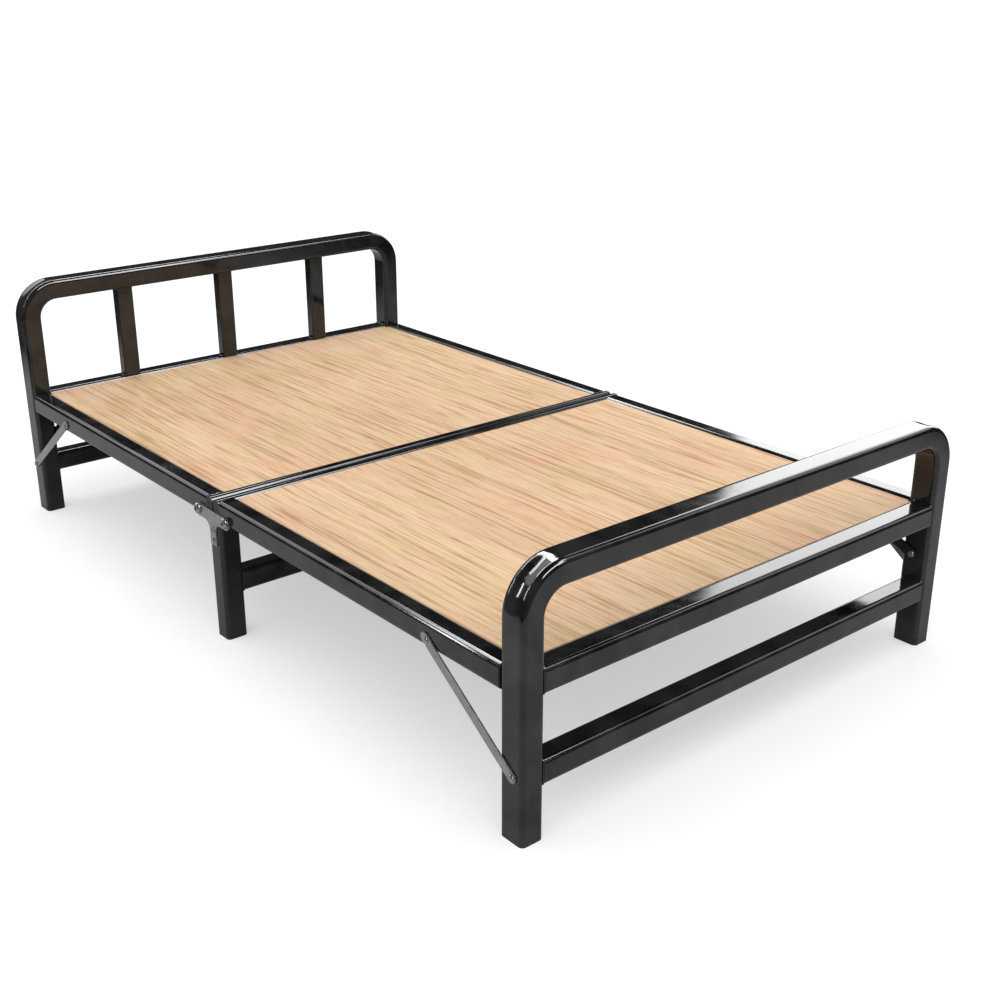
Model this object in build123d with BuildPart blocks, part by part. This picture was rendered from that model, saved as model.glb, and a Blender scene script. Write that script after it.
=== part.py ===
"""Folding cot with a rigid two-panel deck.

Six legs carry it.  A bow-shaped frame stands at each end, with posts that run down to the floor,
and a low leg frame stands under the middle joint.  The deck is two halves, each a welded frame of
rectangular tube with a board let into it.  Each half turns on two bolts in the plates of the
middle leg, each end frame turns on lugs under the outer end of its half, and four hooked stays
lock the end frames upright.

Frame: +X from head to foot, +Y across, +Z up.  The origin is on the floor under the middle joint.
Sizes are in millimetres.  "near" is the -Y side and "far" the +Y side.
"""

import os
from math import atan2, cos, degrees, hypot, radians, sin

from build123d import *

os.makedirs("parts", exist_ok=True)

# ---------------------------------------------------------------- overall
bed_width = 1200.0        # over the posts
deck_length = 1950.0      # between the bars of the two end frames
deck_top = 334.0          # top of the deck frame above the floor
head_height = 630.0       # top of the head bow
foot_height = 520.0       # top of the foot bow

# ---------------------------------------------------------------- end frames
post = 50.0               # width of the bow tube, and the square tube of the bars
post_depth = 60.0         # bow tube along the cot; its outer face is flush with the bars
post_wall = 1.2
post_corner = 10.0
bend_radius = 72.0        # to the centreline of the bow tube
low_bar_height = 50.0
low_bar_centre = 132.5    # height of every lower bar above the floor
slat_width = 46.0         # upright slats of the head frame
slat_depth = 30.0
slat_wall = 1.0
slat_corner = 4.0
slat_pitch = 308.0
slat_count = 3

# ---------------------------------------------------------------- deck frames
rail_width = 45.0         # side rails
rail_height = 50.0
rail_wall = 1.2
rail_corner = 10.0
mid_rail_width = 25.0     # rail along the middle joint, from side to side
post_gap = 2.0            # rail end to post
joint_gap = 4.0           # between the two halves of the deck
plug_flange = 1.0
plug_depth = 15.0
bar = 25.0                # square tube of the cross bars under the board
bar_wall = 1.0
bar_corner = 3.0
bar_count = 3
first_bar = 110.0         # cross bar nearest the middle joint, from that joint
last_bar = 85.0           # cross bar nearest the end frame, from that frame

# ---------------------------------------------------------------- board
board_thickness = 10.0
board_sink = 4.0          # top of the board below the top of the rails
board_side_gap = 1.0
board_end_gap = 2.0
board_joint_gap = 1.5
board_corner = 2.0
screw = 4.0
screw_head = 8.0
screw_head_height = 2.5
screw_bite = 8.0          # into the board
screw_count = 4           # in each cross bar
screw_margin = 60.0       # outermost screw from the rail

# ---------------------------------------------------------------- middle leg and hinge
leg = 50.0                # square tube
leg_wall = 1.2
leg_corner = 10.0
leg_top_gap = 3.0         # leg below the rails
hinge_reach = 58.0        # pivot from the middle joint
hinge_lift = 12.0         # pivot above the underside of the rails
plate_thickness = 4.0
plate_margin = 12.5       # plate beyond the pivot
plate_below = 5.0         # arm of the plate below the underside of the rails
plate_arm = 27.0          # height of the arm
plate_stem = 24.0         # width of the stem
plate_drop = 58.0         # stem below the underside of the rails
plate_round = 12.0
plate_throat = 20.0
plate_rivet_drops = (21.0, 46.0)     # below the underside of the rails
hinge_bolt = 10.0
hinge_head = 24.0
hinge_head_height = 7.0
hinge_head_round = 3.0
hinge_nut_flats = 17.0
hinge_nut_height = 8.0
hinge_bolt_tail = 2.0     # thread beyond the nut

# ---------------------------------------------------------------- end frame pivots
lug_thickness = 4.0
lug_width = 24.0          # strip that the lug is cut from
lug_margin = 4.0          # below the board
lug_back = 17.0           # centre of the upper part from the inner face of the post
lug_crank = 50.0          # bend of the lug below the underside of the rails
lug_inset = 25.0          # pivot from the same face, away from the deck
lug_drop = 70.0           # pivot below the underside of the rails

# ---------------------------------------------------------------- stays
stay_width = 20.0
stay_thickness = 3.0
stay_reach = 209.0        # stud from the end frame
stay_stud_lift = 17.0     # stud above the underside of the rails
stay_tip = 16.0           # bar beyond the stud
stay_notch_play = 0.4

# ---------------------------------------------------------------- rivets
rivet = 8.0
rivet_head = 15.0
rivet_head_height = 3.5
rivet_head_round = 2.4
rivet_tail = 12.0
rivet_tail_length = 4.0

# ---------------------------------------------------------------- feet
sole = 4.0
plug_height = 20.0

# ---------------------------------------------------------------- clearances
face_gap = 0.5            # between plates that turn side by side
head_gap = 0.3            # under the head of a pivot
pivot_fit = 0.05          # radial, shaft in a plate that turns on it
hole_fit = 0.1            # radial, fastener in a wall that it clamps
plug_fit = 0.15           # each side, plug in a tube

# ---------------------------------------------------------------- worked out
half_width = bed_width / 2
half_deck = deck_length / 2
rail_bottom = deck_top - rail_height
rail_inner = half_width - rail_width
rail_centre_y = half_width - rail_width / 2
rail_centre_z = deck_top - rail_height / 2
mid_rail_centre = (joint_gap + mid_rail_width) / 2
rail_start = joint_gap / 2 + mid_rail_width
post_back = half_deck + post - post_depth
post_centre_x = post_back + post_depth / 2
bar_centre_x = half_deck + post / 2
rail_end = post_back - post_gap
post_centre_y = half_width - post / 2
post_inner_y = half_width - post
board_top = deck_top - board_sink
board_bottom = board_top - board_thickness
bar_pitch = (half_deck - last_bar - first_bar) / (bar_count - 1)
bar_places = [first_bar + number * bar_pitch for number in range(bar_count)]
screw_pitch = 2 * (rail_inner - screw_margin) / (screw_count - 1)
outer_plane = half_width + face_gap
hinge_z = rail_bottom + hinge_lift
leg_top = rail_bottom - leg_top_gap
leg_centre_y = outer_plane - leg / 2
pivot_x = post_back + lug_inset
pivot_z = rail_bottom - lug_drop
stay_stud_x = half_deck - stay_reach
stay_stud_z = rail_bottom + stay_stud_lift
stay_run = bar_centre_x - stay_stud_x
stay_rise = stay_stud_z - low_bar_centre
stay_length = hypot(stay_run, stay_rise)
right_angle = 90.0
stay_swing = degrees(atan2(stay_run, stay_rise))
stud_back = pivot_x - stay_stud_x
stud_up = stay_stud_z - pivot_z
slip_back = (stud_back * stay_rise - stud_up * stay_run) / stay_length
slip_off = (stud_up * stay_rise + stud_back * stay_run) / stay_length
slip_off += stay_length * stay_swing / right_angle
notch_lean = degrees(atan2(slip_back, slip_off))

ENDS = {"head": -1, "foot": 1}
SIDES = {"near": -1, "far": 1}


def write(builder, name):
    """Label a finished piece and write it to its own file."""
    builder.part.label = name
    export_step(builder.part, f"parts/{name}.step")


def facing_out(x, y, z, side):
    """Plane through a point, with its normal across the cot and its own Y axis pointing up."""
    return Plane(origin=(x, y, z), x_dir=(-side, 0, 0), z_dir=(0, side, 0))


def tube_section(width, height, corner, wall):
    """Draw a hollow rectangular tube section in the sketch that is open."""
    RectangleRounded(width, height, corner)
    RectangleRounded(width - 2 * wall, height - 2 * wall, corner - wall, mode=Mode.SUBTRACT)


def round_rim(face, radius):
    """Round the outer rim of the head that was extruded last along the normal of a plane."""
    rims = edges(Select.LAST).filter_by(GeomType.CIRCLE)
    fillet(rims.sort_by(lambda rim: rim.center().dot(face.z_dir))[-1], radius)


def add_disc(face, radius, length):
    """Add a disc that stands on a plane to the part that is open."""
    with BuildSketch(face) as disc:
        Circle(radius)
    extrude(disc.sketch, amount=length)


def add_rivet(face, wall, neck):
    """Rivet set in a tube wall: a tail inside, a neck of the given length, and a round head."""
    add_disc(face.offset(-wall - rivet_tail_length), rivet_tail / 2, rivet_tail_length)
    add_disc(face.offset(-wall), rivet / 2, wall + neck)
    add_disc(face.offset(neck), rivet_head / 2, rivet_head_height)
    round_rim(face, rivet_head_round)


# ---------------------------------------------------------------- shared pieces
def make_cross_bar(name, x, z, half_length, depth, height, corner, wall, holes=()):
    """Straight tube across the cot, with clearance holes for screws through both its walls."""
    with BuildPart() as cross:
        with BuildSketch(Plane.XZ.offset(-half_length)):
            with Locations((x, z)):
                tube_section(depth, height, corner, wall)
        extrude(amount=2 * half_length)
        if holes:
            with BuildSketch(Plane.XY.offset(z - height)):
                with Locations(*holes):
                    Circle(screw / 2 + hole_fit)
            extrude(amount=2 * height, mode=Mode.SUBTRACT)
    write(cross, name)


def make_cap(name, x, y, depth, width, corner, wall):
    """Plastic foot: a sole as wide as the tube, with a plug that pushes up into it."""
    inside = 2 * (wall + plug_fit)
    with BuildPart() as cap:
        with BuildSketch(Plane.XY):
            with Locations((x, y)):
                RectangleRounded(depth, width, corner)
        extrude(amount=sole)
        with BuildSketch(Plane.XY.offset(sole)):
            with Locations((x, y)):
                RectangleRounded(depth - inside, width - inside, corner - wall)
        extrude(amount=plug_height)
    write(cap, name)


# ---------------------------------------------------------------- end frames
def stay_rivet_face(sign, side):
    """Plane on the outer face of a post, at the rivet that carries a stay."""
    return facing_out(sign * bar_centre_x, side * half_width, low_bar_centre, side)


def pivot_rivet_face(sign, side):
    """Plane on the inner face of a post, at the rivet that turns in a lug."""
    return facing_out(sign * pivot_x, side * post_inner_y, pivot_z, -side)


def make_bow(end, sign, height):
    """Tube bent into an inverted U; its two posts run down to the floor."""
    x = sign * post_centre_x
    top = height - post / 2
    with BuildPart() as bow:
        with BuildLine(Plane.YZ.offset(x)) as path:
            FilletPolyline(
                (-post_centre_y, sole),
                (-post_centre_y, top),
                (post_centre_y, top),
                (post_centre_y, sole),
                radius=bend_radius,
            )
        with BuildSketch(Plane.XY.offset(sole)):
            with Locations((x, -post_centre_y)):
                tube_section(post_depth, post, post_corner, post_wall)
        sweep(path=path.line)
        for side in SIDES.values():
            for face in (stay_rivet_face(sign, side), pivot_rivet_face(sign, side)):
                with BuildSketch(face.offset(-2 * post_wall)):
                    Circle(rivet / 2 + hole_fit)
                extrude(amount=post, mode=Mode.SUBTRACT)
    write(bow, f"{end}_bow")


def make_slat(number, y):
    """Upright flat tube between the deck bar and the top of the head bow."""
    with BuildPart() as slat:
        with BuildSketch(Plane.XY.offset(deck_top)):
            with Locations((-half_deck - slat_depth / 2, y)):
                tube_section(slat_depth, slat_width, slat_corner, slat_wall)
        extrude(amount=head_height - post - deck_top)
    write(slat, f"head_slat_{number}")


def make_frame_rivets(end, sign):
    """Rivets of one end frame: two that carry the stays and two that the frame turns on."""
    stay_neck = face_gap + stay_thickness + head_gap
    lug_neck = face_gap + lug_thickness + head_gap
    with BuildPart() as stay_rivets:
        for side in SIDES.values():
            add_rivet(stay_rivet_face(sign, side), post_wall, stay_neck)
    write(stay_rivets, f"{end}_stay_rivets")
    with BuildPart() as pivot_rivets:
        for side in SIDES.values():
            add_rivet(pivot_rivet_face(sign, side), post_wall, lug_neck)
    write(pivot_rivets, f"{end}_pivot_rivets")


for end, sign in ENDS.items():
    make_bow(end, sign, head_height if end == "head" else foot_height)
    bars = {"deck_bar": (rail_centre_z, rail_height), "low_bar": (low_bar_centre, low_bar_height)}
    for name, (z, height) in bars.items():
        x = sign * bar_centre_x
        make_cross_bar(f"{end}_{name}", x, z, post_inner_y, post, height, post_corner, post_wall)
    make_frame_rivets(end, sign)
    for where, side in SIDES.items():
        place = (sign * post_centre_x, side * post_centre_y)
        make_cap(f"{end}_cap_{where}", *place, post_depth, post, post_corner, post_wall)

for number in range(slat_count):
    make_slat(number + 1, (number - (slat_count - 1) / 2) * slat_pitch)


# ---------------------------------------------------------------- stays
def make_stay(end, sign, where, side):
    """Flat bar from the post to the stud on the rail, with a notch that hooks over the stud."""
    # Local X runs up the bar from the post; "down" is the local Y direction that faces the floor.
    lie = Plane(
        origin=(sign * bar_centre_x, side * outer_plane, low_bar_centre),
        x_dir=(-sign * stay_run, 0, stay_rise),
        z_dir=(0, side, 0),
    )
    down = -sign * side
    bar_length = stay_length + stay_tip - stay_width / 2
    lean = radians(notch_lean)
    mouth = (stay_length - stay_width / 2 * sin(lean), down * stay_width / 2 * cos(lean))
    with BuildPart() as stay:
        with BuildSketch(lie):
            with Locations((bar_length / 2, 0)):
                SlotCenterToCenter(bar_length, stay_width)
            Circle(rivet / 2 + pivot_fit, mode=Mode.SUBTRACT)
            with Locations(mouth):
                SlotCenterToCenter(
                    stay_width,
                    rivet + 2 * stay_notch_play,
                    rotation=down * (right_angle + notch_lean),
                    mode=Mode.SUBTRACT,
                )
        extrude(amount=stay_thickness)
    write(stay, f"{end}_stay_{where}")


for end, sign in ENDS.items():
    for where, side in SIDES.items():
        make_stay(end, sign, where, side)


# ---------------------------------------------------------------- deck halves
def make_rail(end, sign, where, side):
    """Side rail of one half, drilled for the hinge bolt and the stud of the stay."""
    length = rail_end - plug_flange - rail_start
    with BuildPart() as rail:
        with BuildSketch(Plane.YZ.offset(sign * rail_start)):
            with Locations((side * rail_centre_y, rail_centre_z)):
                tube_section(rail_width, rail_height, rail_corner, rail_wall)
        extrude(amount=sign * length)
        with BuildSketch(facing_out(sign * hinge_reach, side * (rail_inner - rail_wall), hinge_z, side)):
            Circle(hinge_bolt / 2 + hole_fit)
        extrude(amount=rail_width + 2 * rail_wall, mode=Mode.SUBTRACT)
        with BuildSketch(facing_out(sign * stay_stud_x, side * rail_centre_y, stay_stud_z, side)):
            Circle(rivet / 2 + hole_fit)
        extrude(amount=rail_width, mode=Mode.SUBTRACT)
    write(rail, f"{end}_rail_{where}")


def add_plug(face, width):
    """Add a plug to the part that is open: a flange whose outside lies on the plane, and a body."""
    inside = 2 * (rail_wall + plug_fit)
    with BuildSketch(face) as flange:
        RectangleRounded(width, rail_height, rail_corner)
    extrude(flange.sketch, amount=-plug_flange)
    with BuildSketch(face.offset(-plug_flange)) as body:
        RectangleRounded(width - inside, rail_height - inside, rail_corner - rail_wall)
    extrude(body.sketch, amount=-plug_depth)


def make_rail_plugs(end, sign):
    """Plastic plugs that close the outer ends of the side rails and both ends of the mid rail."""
    with BuildPart() as plugs:
        for side in SIDES.values():
            rail_face = Plane(
                origin=(sign * rail_end, side * rail_centre_y, rail_centre_z),
                x_dir=(0, sign, 0),
                z_dir=(sign, 0, 0),
            )
            add_plug(rail_face, rail_width)
            mid_rail_face = facing_out(sign * mid_rail_centre, side * half_width, rail_centre_z, side)
            add_plug(mid_rail_face, mid_rail_width)
    write(plugs, f"{end}_rail_plugs")


def make_board(end, sign):
    """Board let in between the rails, with its corners notched round the posts."""
    start = rail_start + board_joint_gap
    finish = half_deck - board_end_gap
    width = 2 * (rail_inner - board_side_gap)
    notch_length = post_depth - post
    notch_width = width / 2 - post_inner_y + board_end_gap
    with BuildPart() as board:
        with BuildSketch(Plane.XY.offset(board_bottom)):
            with Locations((sign * (start + finish) / 2, 0)):
                RectangleRounded(finish - start, width, board_corner)
            with Locations(*[(sign * finish, side * width / 2) for side in SIDES.values()]):
                Rectangle(2 * notch_length, 2 * notch_width, mode=Mode.SUBTRACT)
        extrude(amount=board_thickness)
        with BuildSketch(Plane.XY.offset(board_bottom)):
            with Locations(*screw_points(sign)):
                Circle(screw / 2)
        extrude(amount=screw_bite, mode=Mode.SUBTRACT)
    write(board, f"{end}_board")


def screw_row(x):
    """Places of the screws through one cross bar."""
    return [(x, (number - (screw_count - 1) / 2) * screw_pitch) for number in range(screw_count)]


def screw_points(sign):
    """Places of all the screws under one board."""
    return [point for place in bar_places for point in screw_row(sign * place)]


def make_board_screws(end, sign):
    """Screws up through the cross bars into the board."""
    bar_bottom = board_bottom - bar
    with BuildPart() as screws:
        with BuildSketch(Plane.XY.offset(bar_bottom - screw_head_height)):
            with Locations(*screw_points(sign)):
                Circle(screw_head / 2)
        extrude(amount=screw_head_height)
        with BuildSketch(Plane.XY.offset(bar_bottom)):
            with Locations(*screw_points(sign)):
                Circle(screw / 2)
        extrude(amount=bar + screw_bite)
    write(screws, f"{end}_board_screws")


def make_hinge_bolts(end, sign):
    """Bolts that one half turns on; each goes through the hinge plate and the rail to a nut."""
    grip = rail_width + face_gap + plate_thickness + head_gap
    with BuildPart() as bolts:
        for side in SIDES.values():
            face = facing_out(sign * hinge_reach, side * rail_inner, hinge_z, side)
            with BuildSketch(face.offset(-hinge_nut_height)):
                RegularPolygon(hinge_nut_flats / 2, 6, major_radius=False)
            extrude(amount=hinge_nut_height)
            with BuildSketch(face.offset(-hinge_nut_height - hinge_bolt_tail)):
                Circle(hinge_bolt / 2)
            extrude(amount=hinge_bolt_tail + hinge_nut_height + grip)
            with BuildSketch(face.offset(grip)):
                Circle(hinge_head / 2)
            extrude(amount=hinge_head_height)
            round_rim(face, hinge_head_round)
    write(bolts, f"{end}_hinge_bolts")


def make_stay_studs(end, sign):
    """Headed studs on the rails that the stays hook over."""
    neck = face_gap + stay_thickness + head_gap
    with BuildPart() as studs:
        for side in SIDES.values():
            face = facing_out(sign * stay_stud_x, side * half_width, stay_stud_z, side)
            add_rivet(face, rail_wall, neck)
    write(studs, f"{end}_stay_studs")


def make_lug(end, sign, where, side):
    """Cranked lug on the inner face of a rail; it hangs beside the post and carries the end frame."""
    plane_y = post_inner_y - face_gap
    lug_top = board_bottom - lug_margin
    across = sign * side * (lug_inset + lug_back)
    bend = lug_drop - lug_crank
    with BuildPart() as lug:
        with BuildSketch(facing_out(sign * pivot_x, side * (plane_y - lug_thickness), pivot_z, side)):
            with Locations((across / 2, bend / 2)):
                SlotCenterToCenter(hypot(across, bend), lug_width, rotation=degrees(atan2(bend, across)))
            with Locations((across, (bend + lug_top - pivot_z) / 2)):
                Rectangle(lug_width, lug_top - pivot_z - bend)
            Circle(rivet / 2 + pivot_fit, mode=Mode.SUBTRACT)
        extrude(amount=lug_thickness)
        with BuildSketch(facing_out(sign * pivot_x, side * plane_y, rail_bottom, side)):
            with Locations((across, (lug_top - rail_bottom) / 2)):
                Rectangle(lug_width, lug_top - rail_bottom)
        extrude(amount=rail_inner - plane_y)
    write(lug, f"{end}_lug_{where}")


for end, sign in ENDS.items():
    make_cross_bar(
        f"{end}_mid_rail",
        sign * mid_rail_centre,
        rail_centre_z,
        half_width - plug_flange,
        mid_rail_width,
        rail_height,
        rail_corner,
        rail_wall,
    )
    for number, place in enumerate(bar_places, 1):
        make_cross_bar(
            f"{end}_cross_bar_{number}",
            sign * place,
            board_bottom - bar / 2,
            rail_inner,
            bar,
            bar,
            bar_corner,
            bar_wall,
            screw_row(sign * place),
        )
    make_rail_plugs(end, sign)
    make_board(end, sign)
    make_board_screws(end, sign)
    make_hinge_bolts(end, sign)
    make_stay_studs(end, sign)
    for where, side in SIDES.items():
        make_rail(end, sign, where, side)
        make_lug(end, sign, where, side)


# ---------------------------------------------------------------- middle leg
def make_leg(where, side):
    """Square tube leg under the middle joint, drilled for the rivets of its hinge plate."""
    with BuildPart() as tube:
        with BuildSketch(Plane.XY.offset(sole)):
            with Locations((0, side * leg_centre_y)):
                tube_section(leg, leg, leg_corner, leg_wall)
        extrude(amount=leg_top - sole)
        with BuildSketch(facing_out(0, side * leg_centre_y, rail_bottom, side)):
            with Locations(*[(0, -drop) for drop in plate_rivet_drops]):
                Circle(rivet / 2 + hole_fit)
        extrude(amount=leg, mode=Mode.SUBTRACT)
    write(tube, f"middle_leg_{where}")


def make_hinge_plate(where, side):
    """T-shaped plate on the outside of a middle leg; its arm carries both halves of the deck."""
    arm_half = hinge_reach + plate_margin
    with BuildPart() as plate:
        with BuildSketch(facing_out(0, side * outer_plane, rail_bottom, side)) as outline:
            with Locations((0, plate_arm / 2 - plate_below)):
                Rectangle(2 * arm_half, plate_arm)
            with Locations((0, (plate_arm - plate_below - plate_drop) / 2)):
                Rectangle(plate_stem, plate_arm - plate_below + plate_drop)
            throat = outline.vertices().filter_by_position(Axis.X, -plate_stem / 2, plate_stem / 2)
            fillet(throat.group_by(Axis.Y)[-1], plate_throat)
            corners = outline.vertices().filter_by_position(Axis.X, -arm_half, arm_half, (True, True))
            fillet(corners.group_by(Axis.X)[0] + corners.group_by(Axis.X)[-1], plate_round)
            with Locations((-hinge_reach, hinge_lift), (hinge_reach, hinge_lift)):
                Circle(hinge_bolt / 2 + pivot_fit, mode=Mode.SUBTRACT)
            with Locations(*[(0, -drop) for drop in plate_rivet_drops]):
                Circle(rivet / 2 + hole_fit, mode=Mode.SUBTRACT)
        extrude(amount=plate_thickness)
    write(plate, f"hinge_plate_{where}")


def make_plate_rivets():
    """Rivets that hold both hinge plates to the middle legs."""
    with BuildPart() as rivets:
        for side in SIDES.values():
            for drop in plate_rivet_drops:
                face = facing_out(0, side * outer_plane, rail_bottom - drop, side)
                add_rivet(face, leg_wall, plate_thickness)
    write(rivets, "hinge_plate_rivets")


make_cross_bar("middle_low_bar", 0, low_bar_centre, leg_centre_y - leg / 2, leg, leg, leg_corner, leg_wall)
make_plate_rivets()
for where, side in SIDES.items():
    make_leg(where, side)
    make_hinge_plate(where, side)
    make_cap(f"middle_cap_{where}", 0, side * leg_centre_y, leg, leg, leg_corner, leg_wall)
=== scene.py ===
import math

import bmesh
import bpy
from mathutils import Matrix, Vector


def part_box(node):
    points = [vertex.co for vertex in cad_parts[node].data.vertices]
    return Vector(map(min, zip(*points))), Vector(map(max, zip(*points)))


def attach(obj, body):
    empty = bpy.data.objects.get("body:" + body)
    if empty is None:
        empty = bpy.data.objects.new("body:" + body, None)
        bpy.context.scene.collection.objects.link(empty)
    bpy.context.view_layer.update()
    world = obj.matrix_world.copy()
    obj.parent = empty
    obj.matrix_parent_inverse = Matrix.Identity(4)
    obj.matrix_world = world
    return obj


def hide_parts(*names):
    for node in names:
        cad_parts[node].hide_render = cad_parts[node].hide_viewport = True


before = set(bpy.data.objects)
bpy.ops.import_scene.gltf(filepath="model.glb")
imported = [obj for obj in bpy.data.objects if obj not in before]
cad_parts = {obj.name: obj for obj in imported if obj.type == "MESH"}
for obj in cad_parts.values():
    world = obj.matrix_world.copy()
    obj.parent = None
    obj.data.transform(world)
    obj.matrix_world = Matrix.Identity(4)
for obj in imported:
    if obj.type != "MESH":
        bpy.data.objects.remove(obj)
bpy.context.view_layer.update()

scene = bpy.context.scene

# ---------------------------------------------------------------- end frame bows
# Each end of the cot is one length of steel tube, bent cold round a former into an
# upside-down U whose legs run down to the floor.  Stove-baked gloss black enamel covers it.


def node(tree, kind, inlets=None, **settings):
    """A node of a geometry or material tree, with its inlets linked or set."""
    made = tree.nodes.new(kind)
    for name, value in settings.items():
        setattr(made, name, value)
    for name, value in (inlets or {}).items():
        if isinstance(value, bpy.types.NodeSocket):
            tree.links.new(value, made.inputs[name])
        else:
            made.inputs[name].default_value = value
    return made


def new_material(name):
    """An empty finish: the material, its tree, its shader and the piece's own coordinates."""
    made = bpy.data.materials.new(name)
    made.use_nodes = True
    tree = made.node_tree
    return made, tree, tree.nodes["Principled BSDF"], node(
        tree, "ShaderNodeTexCoord").outputs["Object"]


def noise(tree, coords, scale, detail=3.0, stretch=None, distortion=0.0):
    """Noise over the piece, in features for each metre; stretch draws it out along an axis."""
    if stretch:
        coords = node(tree, "ShaderNodeMapping", {"Vector": coords, "Scale": stretch}).outputs[0]
    return node(tree, "ShaderNodeTexNoise", {
        "Vector": coords, "Scale": scale, "Detail": detail, "Distortion": distortion,
    }).outputs[0]


def ramp(tree, fac, stops):
    """Colours along a factor; stops holds (place, colour) pairs."""
    made = node(tree, "ShaderNodeValToRGB", {"Fac": fac})
    bar = made.color_ramp.elements
    while len(bar) < len(stops):
        bar.new(0.5)
    for element, (place, colour) in zip(bar, stops):
        element.position = place
        element.color = (*colour, 1.0)
    return made.outputs[0]


def maths(tree, operation, *values):
    """One step of arithmetic."""
    return node(tree, "ShaderNodeMath", dict(enumerate(values)), operation=operation).outputs[0]


def blend(tree, fac, first, second, blend_type="MIX"):
    """Two colours laid over each other by a factor."""
    return node(tree, "ShaderNodeMix", {0: fac, 6: first, 7: second},
                data_type="RGBA", blend_type=blend_type).outputs[2]


def spread(tree, fac, low, high):
    """The factor spread from low to high."""
    return node(tree, "ShaderNodeMapRange", {
        "Value": fac, "From Min": 0.3, "From Max": 0.7, "To Min": low, "To Max": high,
    }).outputs[0]


def bump(tree, shader, height, strength, depth):
    """Relief of that depth in metres."""
    made = node(tree, "ShaderNodeBump", {"Height": height, "Strength": strength, "Distance": depth})
    tree.links.new(made.outputs[0], shader.inputs["Normal"])


def make_enamel():
    """Gloss black stove enamel: near black, a faint orange peel, and duller where hands rub it."""
    made, tree, shader, coords = new_material("black_enamel")
    shader.inputs["Specular IOR Level"].default_value = 0.46
    cloud = noise(tree, coords, 14.0, 8.0, distortion=0.6)
    tree.links.new(ramp(tree, cloud, [(0.36, (0.0040, 0.0040, 0.0046)),
                                      (0.64, (0.0170, 0.0164, 0.0170))]),
                   shader.inputs["Base Color"])
    tree.links.new(spread(tree, cloud, 0.05, 0.13), shader.inputs["Roughness"])
    bump(tree, shader, noise(tree, coords, 260.0, 2.0), 0.02, 0.0003)
    return made


enamel = make_enamel()
bend_steps = 28            # flats round a bend of the tube
corner_steps = 6           # and round each of its four corners


def open_tree(name, **inlets):
    """A geometry tree with those inlets, a finish and one outlet, and its inlets as sockets."""
    tree = bpy.data.node_groups.new(name, "GeometryNodeTree")
    for inlet, kind in {**inlets, "Finish": "Material"}.items():
        tree.interface.new_socket(inlet, in_out="INPUT", socket_type="NodeSocket" + kind)
    tree.interface.new_socket("Made", in_out="OUTPUT", socket_type="NodeSocketGeometry")
    return tree, node(tree, "NodeGroupInput").outputs


def close_tree(tree, shape, finish):
    """The tree ended: its shape made real, with the finish on."""
    solid = node(tree, "GeometryNodeRealizeInstances", {"Geometry": shape}).outputs[0]
    finished = node(tree, "GeometryNodeSetMaterial",
                    {"Geometry": solid, "Material": finish}).outputs[0]
    node(tree, "NodeGroupOutput", {"Made": finished})
    return tree


def rectangular_tube_tree():
    """Tube along a path: a rounded rectangle carried round filleted corners, ends closed."""
    tree, given = open_tree("rectangular_tube", Path="Geometry", Width="Float", Height="Float",
                            Corner="Float", Bend="Float")
    line = node(tree, "GeometryNodeMeshToCurve", {"Mesh": given["Path"]}).outputs[0]
    bent = node(tree, "GeometryNodeFilletCurve",
                {"Curve": line, "Count": bend_steps, "Radius": given["Bend"]},
                mode="POLY").outputs[0]
    outline = node(tree, "GeometryNodeCurvePrimitiveQuadrilateral",
                   {"Width": given["Width"], "Height": given["Height"]}).outputs[0]
    section = node(tree, "GeometryNodeFilletCurve",
                   {"Curve": outline, "Count": corner_steps, "Radius": given["Corner"]},
                   mode="POLY").outputs[0]
    tube = node(tree, "GeometryNodeCurveToMesh",
                {"Curve": bent, "Profile Curve": section, "Fill Caps": True}).outputs[0]
    return close_tree(tree, tube, given["Finish"])


def mesh_object(name, points, edges=(), faces=()):
    """An object at the origin with that mesh."""
    mesh = bpy.data.meshes.new(name)
    mesh.from_pydata([tuple(p) for p in points], edges, faces)
    made = bpy.data.objects.new(name, mesh)
    scene.collection.objects.link(made)
    return made


def grown(name, points, edges, tree, inlets, facing=()):
    """The mesh that a geometry tree makes from points and edges, as a piece of its own."""
    base = mesh_object(name + "_path", points, edges)
    if facing:
        outward = base.data.attributes.new("facing", "FLOAT_VECTOR", "POINT")
        for entry, way in zip(outward.data, facing):
            entry.vector = way
    sockets = {item.name: item.identifier for item in tree.interface.items_tree
               if item.in_out == "INPUT"}
    growth = base.modifiers.new("growth", "NODES")
    growth.node_group = tree
    for inlet, value in inlets.items():
        growth[sockets[inlet]] = value
    ready = base.evaluated_get(bpy.context.evaluated_depsgraph_get())
    mesh = bpy.data.meshes.new_from_object(ready)
    mesh.name = name
    bpy.data.objects.remove(base)
    made = bpy.data.objects.new(name, mesh)
    scene.collection.objects.link(made)
    return made


def shade(piece, angle=35.0):
    """Smooth rounds against flat faces, with an edge wherever the surface turns sharply."""
    piece.data.shade_smooth()
    piece.data.set_sharp_from_angle(angle=math.radians(angle))
    evened = piece.modifiers.new("evened normals", "WEIGHTED_NORMAL")
    evened.keep_sharp = True
    evened.weight = 100
    return piece


merge_distance = 1e-6      # corners nearer than this are one


def close_seams(piece):
    """Doubled points merged and faces turned outwards."""
    shape = bmesh.new()
    shape.from_mesh(piece.data)
    bmesh.ops.remove_doubles(shape, verts=shape.verts, dist=merge_distance)
    bmesh.ops.recalc_face_normals(shape, faces=shape.faces)
    shape.to_mesh(piece.data)
    shape.free()
    return piece


tube_tree = rectangular_tube_tree()


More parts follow.
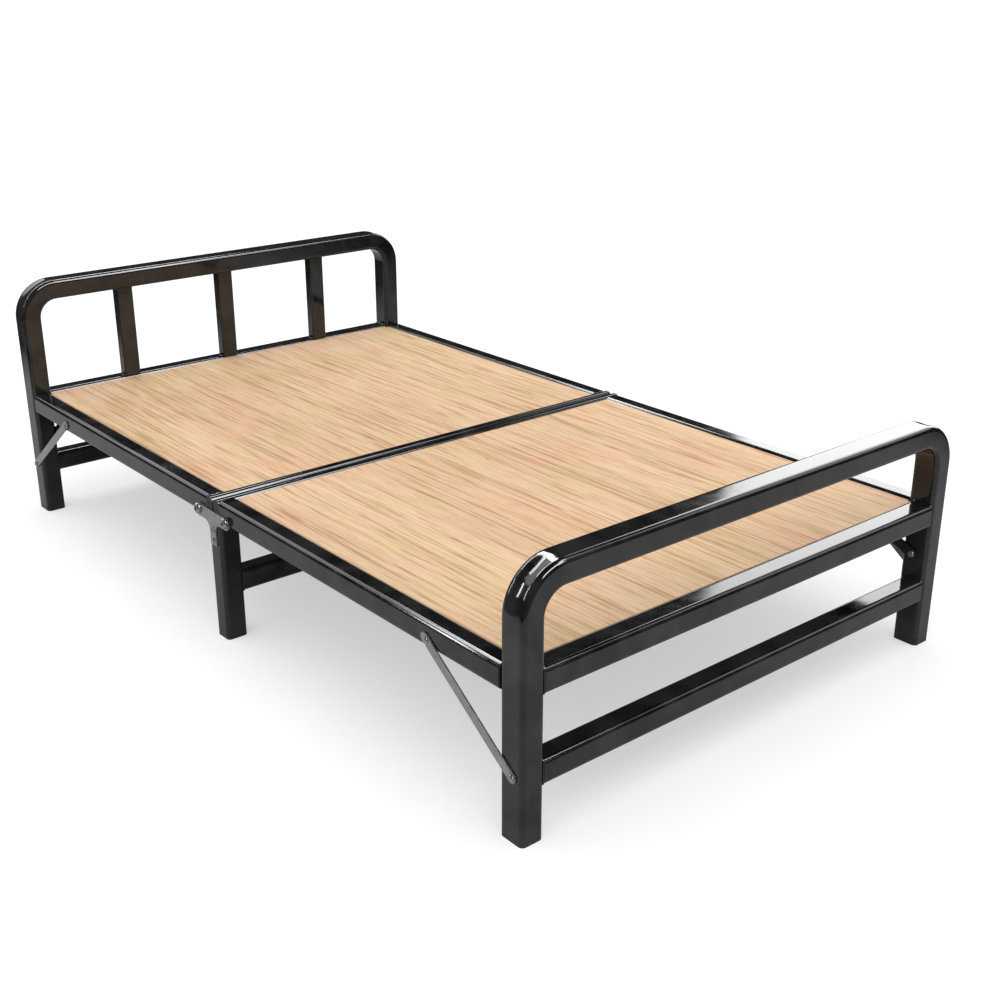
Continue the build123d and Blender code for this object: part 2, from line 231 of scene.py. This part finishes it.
def make_tube(name, points, width, height, corner, bend=0.0):
    """One length of enamelled tube along points."""
    edges = [(n, n + 1) for n in range(len(points) - 1)]
    piece = grown(name, points, edges, tube_tree, {
        "Width": width, "Height": height, "Corner": corner, "Bend": bend, "Finish": enamel,
    })
    return shade(close_seams(piece))


def hand_over(piece, body, slot, *nodes):
    """The piece stands for its CAD nodes and rides on their body."""
    if nodes:
        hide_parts(*nodes)
    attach(piece, body)


post_corner = 0.010
bow_bend = 0.072
bend_sink = 0.0009         # how far the outer wall sinks in the middle of a cold bend
sink_strips = 8            # from the middle of that wall to either side
sink_starts = (2.0, 18.0)  # degrees round the bend from its top, from none to the whole depth
sink_ends = (88.0, 72.0)   # the same from its lower end


def ease_in(value, low, high):
    """A smooth step from 0 at low to 1 at high."""
    part = min(max((value - low) / (high - low), 0.0), 1.0)
    return part * part * (3.0 - 2.0 * part)


def sink_bends(piece, low, high, half):
    """The outer wall of both bends pulled in a little between its rounded corners."""
    middle, flat = (low.x + high.x) / 2, (high.x - low.x) / 2 - post_corner
    shape = bmesh.new()
    shape.from_mesh(piece.data)
    for strip in range(1 - sink_strips, sink_strips):
        bmesh.ops.bisect_plane(
            shape, geom=shape.verts[:] + shape.edges[:] + shape.faces[:], dist=1e-7,
            plane_co=(middle + flat * strip / sink_strips, 0, 0), plane_no=(1, 0, 0))
    reach = half + bow_bend
    centre_y, centre_z = (high.y - low.y) / 2 - reach, high.z - reach
    for spot in shape.verts:
        across = (spot.co.x - middle) / flat
        side, up = abs(spot.co.y) - centre_y, spot.co.z - centre_z
        radius, turn = math.hypot(side, up), math.degrees(math.atan2(side, up))
        if abs(across) < 1.0 and radius > bow_bend and 0.0 < turn < 90.0:
            depth = bend_sink * (1.0 - across ** 2) ** 2
            depth *= ease_in(turn, *sink_starts) * ease_in(turn, *sink_ends)
            spot.co.y -= math.copysign(depth * side / radius, spot.co.y)
            spot.co.z -= depth * up / radius
    shape.to_mesh(piece.data)
    shape.free()


for end in ("head", "foot"):
    low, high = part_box(end + "_bow")
    half = (high.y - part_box(end + "_deck_bar")[1].y) / 2
    x = (low.x + high.x) / 2
    bow = make_tube(end + "_bow_tube", [
        (x, low.y + half, low.z), (x, low.y + half, high.z - half),
        (x, high.y - half, high.z - half), (x, high.y - half, low.z),
    ], high.x - low.x, 2 * half, post_corner, bow_bend)
    sink_bends(bow, low, high, half)
    hand_over(bow, end + "_end", "black_paint", end + "_bow")

# ---------------------------------------------------------------- end frame bars and slats
# A bar at deck height and a lower bar join the legs of each bow, and three upright slats of
# smaller tube fill the head.  All are sawn square and welded in before the frame is enamelled.
slat_corner = 0.004


def make_straight(name, source, axis, corner):
    """A straight tube that fills the box of its CAD node, along one axis."""
    low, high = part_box(source)
    middle = (low + high) / 2
    start, stop = middle.copy(), middle.copy()
    start[axis], stop[axis] = low[axis], high[axis]
    size = high - low
    wide, tall = {0: (size.y, size.z), 1: (size.x, size.z), 2: (size.x, size.y)}[axis]
    return make_tube(name, [start, stop], wide, tall, corner)


for end in ("head", "foot"):
    for bar in ("deck_bar", "low_bar"):
        source = f"{end}_{bar}"
        tube = make_straight(source + "_tube", source, 1, post_corner)
        hand_over(tube, end + "_end", "black_paint", source)
for number in (1, 2, 3):
    source = f"head_slat_{number}"
    tube = make_straight(source + "_tube", source, 2, slat_corner)
    hand_over(tube, "head_end", "black_paint", source)

# ---------------------------------------------------------------- deck rails
# Each half of the deck is a welded frame: a rectangular rail along each side, a narrow one
# beside the middle joint, and three light square bars under the board.
rail_corner = 0.010
bar_corner = 0.003

for end in ("head", "foot"):
    body = end + "_half"
    for rail, axis, corner in (("rail_near", 0, rail_corner), ("rail_far", 0, rail_corner),
                               ("mid_rail", 1, rail_corner), ("cross_bar_1", 1, bar_corner),
                               ("cross_bar_2", 1, bar_corner), ("cross_bar_3", 1, bar_corner)):
        source = f"{end}_{rail}"
        tube = make_straight(source + "_tube", source, axis, corner)
        hand_over(tube, body, "black_paint", source)

# ---------------------------------------------------------------- middle leg frame
# Two short legs and a low bar of the same square tube stand under the joint as an H.
leg_corner = post_corner

for name, axis in (("middle_leg_near", 2), ("middle_leg_far", 2), ("middle_low_bar", 1)):
    tube = make_straight(name + "_tube", name, axis, leg_corner)
    hand_over(tube, "middle_leg", "black_paint", name)

# ---------------------------------------------------------------- welds
# Every joint between tubes is welded by hand before the enamel goes on: low rippled beads in
# the corners, and filled grooves where two faces lie flush.
weld_size = 0.0028
weld_inset = 0.0032        # centre of a bead below a face that it ends flush with
weld_groove = 0.0020       # the same from the end of a side rail, over the round of the mid rail
weld_bend = 0.007          # round the corners of a tube
weld_ripple = 0.0021       # from one ripple to the next
weld_step = 0.0009         # length of a flat along a bead
weld_wave = 0.035          # share by which a ripple swells the bead


def weld_tree():
    """Weld bead along a path: a round string that swells and shrinks a little as it goes."""
    tree, given = open_tree("weld_bead", Path="Geometry", Size="Float", Ripple="Float",
                            Bend="Float")
    line = node(tree, "GeometryNodeMeshToCurve", {"Mesh": given["Path"]}).outputs[0]
    bent = node(tree, "GeometryNodeFilletCurve", {
        "Curve": line, "Count": 5, "Radius": given["Bend"], "Limit Radius": True,
    }, mode="POLY").outputs[0]
    fine = node(tree, "GeometryNodeResampleCurve", {"Curve": bent, "Length": weld_step},
                mode="LENGTH").outputs[0]
    along = node(tree, "GeometryNodeSplineParameter").outputs["Length"]
    turns = maths(tree, "DIVIDE", along, given["Ripple"])
    wave = maths(tree, "SINE", maths(tree, "MULTIPLY", turns, math.tau))
    rough = node(tree, "ShaderNodeTexNoise", {"Scale": 160.0, "Detail": 1.0}).outputs[0]
    swell = maths(tree, "MULTIPLY_ADD", rough, 0.16, 0.85)
    scale = maths(tree, "MULTIPLY_ADD", wave, weld_wave, swell)
    outline = node(tree, "GeometryNodeCurvePrimitiveCircle",
                   {"Resolution": 8, "Radius": given["Size"]}).outputs[0]
    bead = node(tree, "GeometryNodeCurveToMesh", {
        "Curve": fine, "Profile Curve": outline, "Scale": scale, "Fill Caps": True,
    }).outputs[0]
    return close_tree(tree, bead, given["Finish"])


bead_tree = weld_tree()


def ring(axis, place, box, closed=True):
    """Corners of a path round a box at one place along an axis, and the edges between them.

    An open path leaves out the top."""
    (a0, b0), (a1, b1) = box
    corners = [(a0, b1), (a0, b0), (a1, b0), (a1, b1)]
    points = [(place, a, b) if axis == 0 else (a, place, b) if axis == 1 else (a, b, place)
              for a, b in corners]
    edges = [(0, 1), (1, 2), (2, 3)] + ([(3, 0)] if closed else [])
    return points, edges


def make_welds(name, body, paths):
    """All the beads of one body."""
    points, edges = [], []
    for path_points, path_edges in paths:
        edges += [(a + len(points), b + len(points)) for a, b in path_edges]
        points += path_points
    piece = grown(name, points, edges, bead_tree, {
        "Size": weld_size, "Ripple": weld_ripple, "Bend": weld_bend, "Finish": enamel,
    })
    hand_over(shade(close_seams(piece), 60.0), body, "black_paint")


for end in ("head", "foot"):
    paths = []
    low_inset, high_inset = (weld_inset, 0.0) if end == "head" else (0.0, weld_inset)
    for source in (end + "_deck_bar", end + "_low_bar"):
        low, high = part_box(source)
        for y in (low.y, high.y):
            paths.append(ring(1, y, ((low.x + low_inset, low.z), (high.x - high_inset, high.z))))
    if end == "head":
        for number in (1, 2, 3):
            low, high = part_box(f"head_slat_{number}")
            for z, inset in ((low.z, weld_inset), (high.z, 0.0)):
                paths.append(ring(2, z, ((low.x, low.y), (high.x - inset, high.y))))
    make_welds(end + "_end_welds", end + "_end", paths)

    paths = []
    for side in ("near", "far"):
        low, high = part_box(f"{end}_rail_{side}")
        x = low.x - weld_groove if end == "foot" else high.x + weld_groove
        paths.append(ring(0, x, ((low.y + weld_inset, low.z + weld_inset),
                                 (high.y - weld_inset, high.z - weld_inset))))
        for number in (1, 2, 3):
            bar_low, bar_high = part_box(f"{end}_cross_bar_{number}")
            y = bar_low.y if side == "near" else bar_high.y
            top = bar_high.z - bar_corner
            paths.append(ring(1, y, ((bar_low.x, bar_low.z), (bar_high.x, top)), closed=False))
    make_welds(end + "_half_welds", end + "_half", paths)

low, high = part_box("middle_low_bar")
make_welds("middle_leg_welds", "middle_leg", [
    ring(1, y, ((low.x + weld_inset, low.z), (high.x - weld_inset, high.z)))
    for y in (low.y, high.y)])

# ---------------------------------------------------------------- boards
# A thin board lies on the cross bars of each half, sunk a little below the rails.  Its upper
# face is pale streaked wood under matt lacquer; the sawn edges are left raw; the underside is
# dark brown board, darkened further as painted shade for the shadow under the deck.
board_ease = 0.0006


def merged(source):
    """The mesh of a CAD node with its triangles joined, to work on."""
    shape = bmesh.new()
    shape.from_mesh(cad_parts[source].data)
    bmesh.ops.remove_doubles(shape, verts=shape.verts, dist=merge_distance)
    return shape


def cad_copy(name, source):
    """A copy of a CAD node with its flat faces made whole."""
    shape = merged(source)
    bmesh.ops.dissolve_limit(shape, angle_limit=math.radians(0.6), verts=shape.verts,
                             edges=shape.edges)
    made = mesh_object(name, [])
    shape.to_mesh(made.data)
    shape.free()
    return made


def ease(piece, width, finish, segments=2, angle=40.0):
    """Sharp edges eased to that width, and the finish put on."""
    piece.data.materials.clear()
    piece.data.materials.append(finish)
    piece.data.shade_smooth()
    piece.data.set_sharp_from_angle(angle=math.radians(angle))
    eased = piece.modifiers.new("eased edges", "BEVEL")
    eased.width = width
    eased.segments = segments
    eased.limit_method = "ANGLE"
    eased.angle_limit = math.radians(angle)
    eased.harden_normals = True
    return piece


def make_board_face():
    """Pale honey wood: long fine streaks along the cot, with drifting warm and cool tints."""
    made, tree, shader, coords = new_material("board_face")
    broad = noise(tree, coords, 1.0, 3.0, (0.9, 8.0, 8.0), 0.4)
    colour = ramp(tree, broad, [(0.30, (0.665, 0.448, 0.268)), (0.50, (0.728, 0.500, 0.310)),
                                (0.70, (0.775, 0.555, 0.358))])
    tint = ramp(tree, noise(tree, coords, 1.0, 2.0, (5.0, 7.0, 7.0)),
                [(0.33, (1.0, 0.92, 0.88)), (0.50, (1.0, 1.0, 1.0)), (0.66, (0.96, 1.0, 0.88))])
    bands = ramp(tree, noise(tree, coords, 1.0, 2.0, (1.8, 42.0, 42.0), 0.3),
                 [(0.36, (0.95, 0.92, 0.88)), (0.50, (1.0, 1.0, 1.0)), (0.62, (1.0, 0.98, 0.95))])
    streaks = ramp(tree, noise(tree, coords, 1.0, 4.0, (4.6, 150.0, 150.0), 0.3),
                   [(0.34, (0.66, 0.55, 0.43)), (0.44, (0.89, 0.84, 0.77)),
                    (0.54, (1.0, 1.0, 1.0))])
    hairs = ramp(tree, noise(tree, coords, 1.0, 3.0, (14.0, 420.0, 420.0), 0.2),
                 [(0.32, (0.80, 0.73, 0.64)), (0.48, (1.0, 1.0, 1.0))])
    marks = ramp(tree, noise(tree, coords, 1.0, 2.0, (6.0, 48.0, 48.0), 0.8),
                 [(0.20, (0.62, 0.50, 0.36)), (0.29, (1.0, 1.0, 1.0))])
    for layer in (tint, bands, streaks, hairs, marks):
        colour = blend(tree, 1.0, colour, layer, "MULTIPLY")
    tree.links.new(colour, shader.inputs["Base Color"])
    shader.inputs["Specular IOR Level"].default_value = 0.25
    tree.links.new(spread(tree, broad, 0.55, 0.68), shader.inputs["Roughness"])
    bump(tree, shader, noise(tree, coords, 1.0, 3.0, (8.0, 420.0, 420.0), 0.2), 0.12, 0.0002)
    return made


def make_board_back():
    """The underside: dark brown and fibrous, darkened as painted shade for the shadow under the
    deck.
    """
    made, tree, shader, coords = new_material("board_back_painted_shade")
    grain = noise(tree, coords, 1.0, 3.0, (2.5, 60.0, 60.0), 0.4)
    # Painted shade: the underside's brown is kept dark to stand for the shade under the deck.
    tree.links.new(ramp(tree, grain, [(0.30, (0.080, 0.060, 0.044)),
                                      (0.70, (0.130, 0.100, 0.076))]),
                   shader.inputs["Base Color"])
    shader.inputs["Roughness"].default_value = 0.85
    bump(tree, shader, grain, 0.2, 0.0003)
    return made


def make_board_edge():
    """The sawn edge: thin plies, paler and rougher than the faces."""
    made, tree, shader, coords = new_material("board_edge")
    plies = node(tree, "ShaderNodeTexWave", {
        "Vector": coords, "Scale": 95.0, "Distortion": 0.4, "Detail": 2.0, "Detail Scale": 3.0,
    }, bands_direction="Z").outputs[0]
    tree.links.new(ramp(tree, plies, [(0.25, (0.52, 0.36, 0.22)), (0.75, (0.80, 0.66, 0.47))]),
                   shader.inputs["Base Color"])
    shader.inputs["Roughness"].default_value = 0.8
    bump(tree, shader, noise(tree, coords, 900.0, 2.0), 0.3, 0.0002)
    return made


board_finishes = (make_board_face(), make_board_edge(), make_board_back())

for end in ("head", "foot"):
    source = end + "_board"
    board = cad_copy(source + "_panel", source)
    ease(board, board_ease, board_finishes[0])
    for finish in board_finishes[1:]:
        board.data.materials.append(finish)
    for face in board.data.polygons:
        face.material_index = 0 if face.normal.z > 0.5 else 2 if face.normal.z < -0.5 else 1
    hand_over(board, end + "_half", "board_wood", source)

# ---------------------------------------------------------------- plates, lugs and stays
# The T-shaped hinge plates, the lugs of the end frames and the hooked stays are blanked from
# flat steel strip and tumbled to take off the burr; the plates and stays are zinc plated and the
# lugs enamelled black.
plate_ease = 0.0004


def make_zinc():
    """Dull zinc plate: grey metal with a fine cloudy grain and small stains."""
    made, tree, shader, coords = new_material("zinc_plate")
    cloud = noise(tree, coords, 60.0, 4.0)
    tree.links.new(ramp(tree, cloud, [(0.30, (0.30, 0.305, 0.31)), (0.70, (0.45, 0.455, 0.46))]),
                   shader.inputs["Base Color"])
    shader.inputs["Metallic"].default_value = 1.0
    tree.links.new(spread(tree, cloud, 0.34, 0.50), shader.inputs["Roughness"])
    bump(tree, shader, noise(tree, coords, 900.0, 2.0), 0.10, 0.0002)
    return made


zinc = make_zinc()

for side in ("near", "far"):
    plate = ease(cad_copy(f"hinge_plate_{side}_blank", f"hinge_plate_{side}"), plate_ease, zinc)
    hand_over(plate, "middle_leg", "zinc_steel", f"hinge_plate_{side}")
    for end in ("head", "foot"):
        source = f"{end}_stay_{side}"
        stay = ease(cad_copy(source + "_strip", source), plate_ease, zinc)
        hand_over(stay, f"{end}_{side}_stay", "zinc_steel", source)
        source = f"{end}_lug_{side}"
        lug = ease(cad_copy(source + "_blank", source), plate_ease, enamel)
        hand_over(lug, end + "_half", "black_paint", source)

# ---------------------------------------------------------------- pivots and fasteners
# Zinc plated rivets and bolts: domed rivets hold the stays and plates, socket-headed bolts
# with nuts are the hinges, and cross-head screws through the cross bars hold the boards down.
fastener_sides = 48
rivet_head = 0.0035        # heights of the heads
bolt_head = 0.007
screw_head = 0.0025


def hexagon(turn, flat):
    """Distance from the axis to a hexagon, where flat is its distance to a side."""
    return flat / math.cos(turn % math.radians(60) - math.radians(30))


def cross(turn, arm):
    """Distance from the axis to a driver cross with arms that long."""
    off = abs((turn + math.radians(45)) % math.radians(90) - math.radians(45))
    if off < math.radians(15.1):
        return arm / math.cos(off)
    return arm * math.tan(math.radians(15)) / math.sin(off)


def turned(name, profile):
    """A solid of revolution from (radius, height) steps; a third item gives another outline."""
    shape = bmesh.new()
    rings = []
    for radius, height, *outline in profile:
        spots = []
        for n in range(fastener_sides if radius else 1):
            turn = math.tau * n / fastener_sides
            out = outline[0](turn, radius) if outline else radius
            spots.append(shape.verts.new((out * math.cos(turn), out * math.sin(turn), height)))
        rings.append(spots)
    for upper, lower in zip(rings, rings[1:]):
        for n in range(fastener_sides):
            corners = [upper[n % len(upper)], lower[n % len(lower)],
                       lower[(n + 1) % len(lower)], upper[(n + 1) % len(upper)]]
            shape.faces.new(list(dict.fromkeys(corners)))
    made = mesh_object(name, [])
    shape.to_mesh(made.data)
    shape.free()
    return made


def rivet_profile(length):
    """Domed head, neck, and a broad tail clenched inside the tube."""
    r, h, neck = 0.0075, rivet_head, 0.004
    tail = h - length
    return [(0, h), (0.30 * r, 0.985 * h), (0.55 * r, 0.93 * h), (0.78 * r, 0.78 * h),
            (0.93 * r, 0.50 * h), (r, 0.22 * h), (r, 0), (neck, 0), (neck, tail + 0.004),
            (0.006, tail + 0.004), (0.006, tail), (0, tail)]


def bolt_profile(length):
    """Round head with a hexagon socket, shank, nut with chamfered corners, and thread end."""
    r, h, shank, nut = 0.012, bolt_head, 0.005, 0.0085
    end = h - length
    top, foot = end + 0.010, end + 0.002
    return [(0, h - 0.0035), (0.0038, h - 0.0035, hexagon), (0.0040, h - 0.0004, hexagon),
            (0.0054, h), (0.0085, h - 0.0004), (0.0105, h - 0.0016), (0.0117, h - 0.0032),
            (r, h - 0.0048), (r, 0), (shank, 0), (shank, top), (0.0082, top),
            (nut, top - 0.0008, hexagon), (nut, foot + 0.0008, hexagon), (0.0082, foot),
            (shank, foot), (0.0044, foot - 0.0005), (shank, foot - 0.0010), (0.0042, end), (0, end)]


def screw_profile(length):
    """Pan head with a driver cross, shank, and a blunt point in the board."""
    r, h, shank = 0.004, screw_head, 0.002
    end = h - length
    return [(0, h - 0.0014), (0.0014, h - 0.0014, cross), (0.0023, h - 0.0001, cross),
            (0.0027, h), (0.0034, h - 0.0004), (0.0038, h - 0.0010), (r, h - 0.0017), (r, 0),
            (shank, 0), (shank, end + 0.002), (0, end)]


def fastener_tree():
    """The same fastener at every point, turned to face outwards and spun by a fixed chance."""
    tree, given = open_tree("fasteners", Places="Geometry", Pattern="Object")
    pattern = node(tree, "GeometryNodeObjectInfo", {"Object": given["Pattern"]}).outputs["Geometry"]
    outward = node(tree, "GeometryNodeInputNamedAttribute", {"Name": "facing"},
                   data_type="FLOAT_VECTOR").outputs[0]
    turn = node(tree, "FunctionNodeAlignRotationToVector", {"Vector": outward}, axis="Z").outputs[0]
    placed = node(tree, "GeometryNodeInstanceOnPoints", {
        "Points": given["Places"], "Instance": pattern, "Rotation": turn,
    }).outputs[0]
    chance = node(tree, "FunctionNodeRandomValue", {2: 0.0, 3: math.tau, "Seed": 7},
                  data_type="FLOAT").outputs[1]
    spin = node(tree, "ShaderNodeCombineXYZ", {"Z": chance}).outputs[0]
    spun = node(tree, "GeometryNodeRotateInstances", {
        "Instances": placed, "Rotation": spin, "Local Space": True,
    }).outputs[0]
    return close_tree(tree, spun, given["Finish"])


def solid_boxes(source):
    """The box of each separate solid of a CAD node, as a low and a high corner."""
    shape = merged(source)
    waiting = set(shape.verts)
    boxes = []
    while waiting:
        island, edge = set(), [waiting.pop()]
        while edge:
            spot = edge.pop()
            island.add(spot)
            for link in spot.link_edges:
                other = link.other_vert(spot)
                if other in waiting:
                    waiting.remove(other)
                    edge.append(other)
        spots = [spot.co.copy() for spot in island]
        boxes.append((Vector([min(p[n] for p in spots) for n in range(3)]),
                      Vector([max(p[n] for p in spots) for n in range(3)])))
    shape.free()
    return sorted(boxes, key=lambda box: tuple(round(v, 4) for v in box[0]))


set_tree = fastener_tree()

kinds = {  # axis, whether the head faces away from the middle, height of the head, profile
    "stay_rivets": (1, True, rivet_head, rivet_profile),
    "stay_studs": (1, True, rivet_head, rivet_profile),
    "pivot_rivets": (1, False, rivet_head, rivet_profile),
    "hinge_plate_rivets": (1, True, rivet_head, rivet_profile),
    "hinge_bolts": (1, True, bolt_head, bolt_profile),
    "board_screws": (2, False, screw_head, screw_profile),
}
groups = [("hinge_plate_rivets", "hinge_plate_rivets", "middle_leg")]
for end in ("head", "foot"):
    for kind, half in (("hinge_bolts", "half"), ("stay_studs", "half"), ("board_screws", "half"),
                       ("stay_rivets", "end"), ("pivot_rivets", "end")):
        groups.append((f"{end}_{kind}", kind, f"{end}_{half}"))
for source, kind, body in groups:
    axis, away, head, profile = kinds[kind]
    places, ways = [], []
    for low, high in solid_boxes(source):
        middle = (low + high) / 2
        way = Vector((0.0, 0.0, 0.0))
        way[axis] = 1.0 if (middle[axis] > 0) == away else -1.0
        length = high[axis] - low[axis]
        places.append(middle + way * (length / 2 - head))
        ways.append(way)
    pattern = turned(source + "_pattern", profile(length))
    piece = grown(source + "_set", places, [], set_tree,
                  {"Pattern": pattern, "Finish": zinc}, ways)
    bpy.data.objects.remove(pattern)
    hand_over(shade(close_seams(piece), 30.0), body, "zinc_steel", source)

# ---------------------------------------------------------------- plugs and foot caps
# Push-in caps moulded in black polyethylene close the tubes at the floor and at the joint.
cap_ease = 0.0008
plug_ease = 0.0003


def make_plastic():
    """Moulded black polyethylene: dark grey, even, with a fine spark texture."""
    made, tree, shader, coords = new_material("moulded_black")
    cloud = noise(tree, coords, 40.0, 3.0)
    tree.links.new(ramp(tree, cloud, [(0.30, (0.012, 0.012, 0.013)),
                                      (0.70, (0.022, 0.022, 0.023))]),
                   shader.inputs["Base Color"])
    tree.links.new(spread(tree, cloud, 0.46, 0.60), shader.inputs["Roughness"])
    bump(tree, shader, noise(tree, coords, 1500.0, 2.0), 0.25, 0.0001)
    return made


plastic = make_plastic()

for end, body in (("head", "head_end"), ("foot", "foot_end"), ("middle", "middle_leg")):
    for side in ("near", "far"):
        source = f"{end}_cap_{side}"
        cap = ease(cad_copy(source + "_moulding", source), cap_ease, plastic, 3)
        hand_over(cap, body, "black_plastic", source)
for end in ("head", "foot"):
    source = end + "_rail_plugs"
    plugs = ease(cad_copy(source + "_moulding", source), plug_ease, plastic)
    hand_over(plugs, end + "_half", "black_plastic", source)

# ---------------------------------------------------------------- floor, lights and camera
# A pale floor that runs out of sight into a white backdrop, one broad soft lamp overhead, and
# far panels whose images draw the edges of the gloss tube.  The floor glows a little, painted
# light that lifts the shadow under the cot, and in gloss it shows black beyond its pale middle,
# a painted dark reflection.
floor_half = 60.0
paper_reach = (2.2, 1.6)   # pale part of the floor as gloss shows it, from the middle
paper_fade = 0.5
floor = mesh_object("floor", [
    (-floor_half, -floor_half, 0), (floor_half, -floor_half, 0),
    (floor_half, floor_half, 0), (-floor_half, floor_half, 0),
], faces=[(0, 1, 2, 3)])
pale, pale_tree, pale_shader, pale_coords = new_material("pale_floor_with_painted_light")
mirrored = node(pale_tree, "ShaderNodeLightPath").outputs["Is Glossy Ray"]
shade_of_floor = ramp(pale_tree, noise(pale_tree, pale_coords, 3.0),
                      [(0.3, (0.55, 0.55, 0.55)), (0.7, (0.57, 0.57, 0.57))])
spot = node(pale_tree, "ShaderNodeSeparateXYZ", {"Vector": pale_coords}).outputs
away_x, away_y = [
    maths(pale_tree, "SUBTRACT", maths(pale_tree, "ABSOLUTE", spot[axis]), reach)
    for axis, reach in zip("XY", paper_reach)]
off_paper = node(pale_tree, "ShaderNodeMapRange", {
    "Value": maths(pale_tree, "MAXIMUM", away_x, away_y),
    "From Min": 0.0, "From Max": paper_fade,
}).outputs[0]
# Painted dark reflection: in gloss the floor turns near black beyond its pale middle.
painted_dark_in_gloss = maths(pale_tree, "MULTIPLY", off_paper, mirrored)
pale_tree.links.new(blend(pale_tree, painted_dark_in_gloss, shade_of_floor, (0.03, 0.03, 0.03, 1.0)),
                    pale_shader.inputs["Base Color"])
pale_shader.inputs["Roughness"].default_value = 0.9
pale_shader.inputs["Specular IOR Level"].default_value = 0.0
pale_shader.inputs["Emission Color"].default_value = (1.0, 1.0, 1.0, 1.0)
# Painted light: the floor glows, lifting the shadow under the cot; gloss sees almost none of it.
pale_tree.links.new(
    node(pale_tree, "ShaderNodeMapRange",
         {"Value": mirrored, "To Min": 0.48, "To Max": 0.02}).outputs[0],
    pale_shader.inputs["Emission Strength"])
floor.data.materials.append(pale)

world = bpy.data.worlds.new("studio")
world.use_nodes = True
scene.world = world
rays = node(world.node_tree, "ShaderNodeLightPath").outputs
walls = blend(world.node_tree, rays["Is Glossy Ray"],
              (0.78, 0.785, 0.80, 1.0), (0.030, 0.030, 0.032, 1.0))
walls = blend(world.node_tree, rays["Is Camera Ray"], walls, (1.0, 1.0, 1.0, 1.0))
world.node_tree.links.new(walls, world.node_tree.nodes["Background"].inputs["Color"])

sun = bpy.data.lights.new("overhead", "SUN")
sun.energy = 1.35
sun.angle = math.radians(80.0)
overhead = bpy.data.objects.new("overhead", sun)
overhead.rotation_euler = (math.radians(14.0), math.radians(10.0), 0.0)
overhead.visible_glossy = False
scene.collection.objects.link(overhead)

panel_distance = 30.0


def place_panel(name, azimuths, elevations, radiance, lean=0.0):
    """A far soft panel that fills a range of azimuths and elevations as seen from the cot.

    It lights nothing by itself: only its image shows, in what is glossy."""
    turn = math.radians(sum(azimuths) / 2)
    rise = math.radians(sum(elevations) / 2)
    away = Vector((math.cos(turn) * math.cos(rise), math.sin(turn) * math.cos(rise),
                   math.sin(rise)))
    lamp = bpy.data.lights.new(name, "AREA")
    lamp.shape = "RECTANGLE"
    half_turn = math.radians(azimuths[1] - azimuths[0]) / 2
    lamp.size = 2 * panel_distance * math.tan(half_turn) * math.cos(rise)
    lamp.size_y = 2 * panel_distance * math.tan(math.radians(elevations[1] - elevations[0]) / 2)
    lamp.energy = radiance * math.pi * lamp.size * lamp.size_y
    made = bpy.data.objects.new(name, lamp)
    made.location = away * panel_distance
    made.rotation_euler = away.to_track_quat("Z", "Y").to_euler()
    made.rotation_euler.rotate_axis("Z", math.radians(lean))
    made.visible_camera = False
    made.visible_diffuse = False
    scene.collection.objects.link(made)


for panel in (  # name, azimuths, elevations, radiance, lean
    ("panel_back", (95.0, 128.5), (6.0, 40.0), 5.2),
    ("panel_left_high", (146.0, 203.0), (45.5, 50.0), 13.0),
    ("panel_left_back", (144.0, 156.0), (36.0, 43.5), 16.0),
    ("panel_left_low", (158.0, 212.0), (22.0, 45.5), 2.2),
    ("panel_left_slit", (221.1, 223.3), (12.0, 34.0), 30.0, 23.5),
    ("panel_front", (345.0, 398.0), (38.0, 54.0), 20.0),
    ("panel_right_top", (38.0, 64.0), (48.0, 62.0), 16.0),
    ("panel_right_low", (24.0, 38.0), (26.0, 38.0), 10.0),
    ("panel_right_back", (54.0, 96.0), (26.0, 48.0), 2.0),
):
    place_panel(*panel)

camera_data = bpy.data.cameras.new("camera")
camera_data.sensor_width = 36.0
camera_data.lens = 48.99
camera_data.clip_end = 300.0
camera = bpy.data.objects.new("camera", camera_data)
camera.location = (2.48691, -1.8741, 1.42109)
camera.rotation_euler = (math.radians(68.19), 0.0, math.radians(50.03))
scene.collection.objects.link(camera)
scene.camera = camera
scene.view_settings.view_transform = "Standard"
